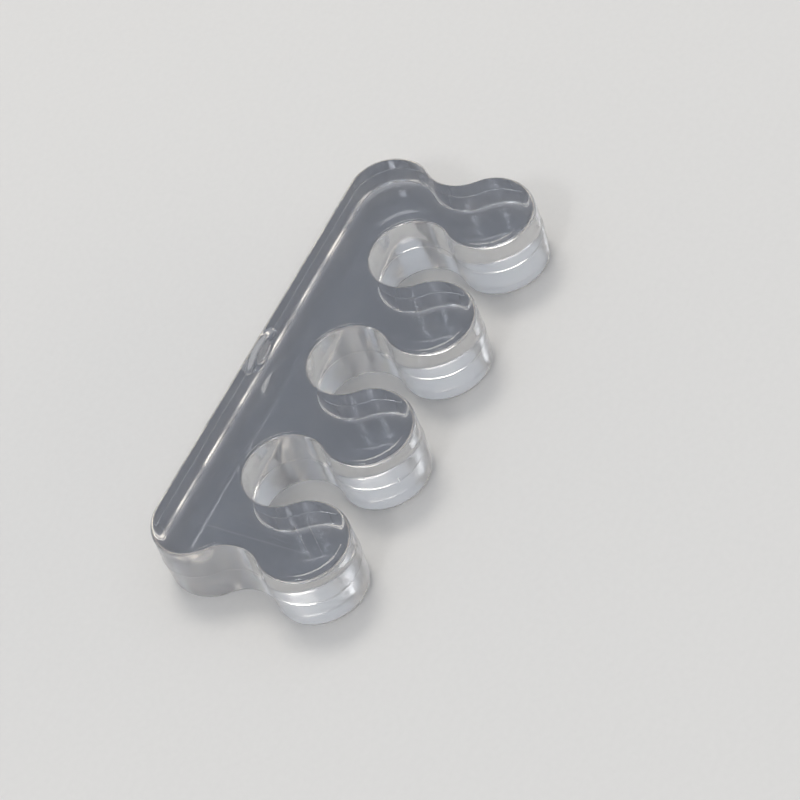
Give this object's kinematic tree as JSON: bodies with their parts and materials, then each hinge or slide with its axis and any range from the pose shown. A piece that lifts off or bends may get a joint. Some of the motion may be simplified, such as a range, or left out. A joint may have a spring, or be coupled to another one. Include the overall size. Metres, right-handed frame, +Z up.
{
  "type": "toe separator",
  "caption": "Soft clear gel plate with a straight spine, round knobs and round notches, which holds the toes of a foot apart while the nails are painted or dry",
  "frame": {"origin": "centre of the bounding box, at the bottom face that the plate lies on", "axes": "+X along the straight spine, +Y towards the spine's wall and away from the knobs, +Z up through the plate's thickness"},
  "size_m": [0.0854, 0.0356, 0.0127],
  "materials": {
    "clear_gel": "gloss"
  },
  "bodies": {
    "root": {"toe_separator": "clear_gel"}
  },
  "joints": []
}
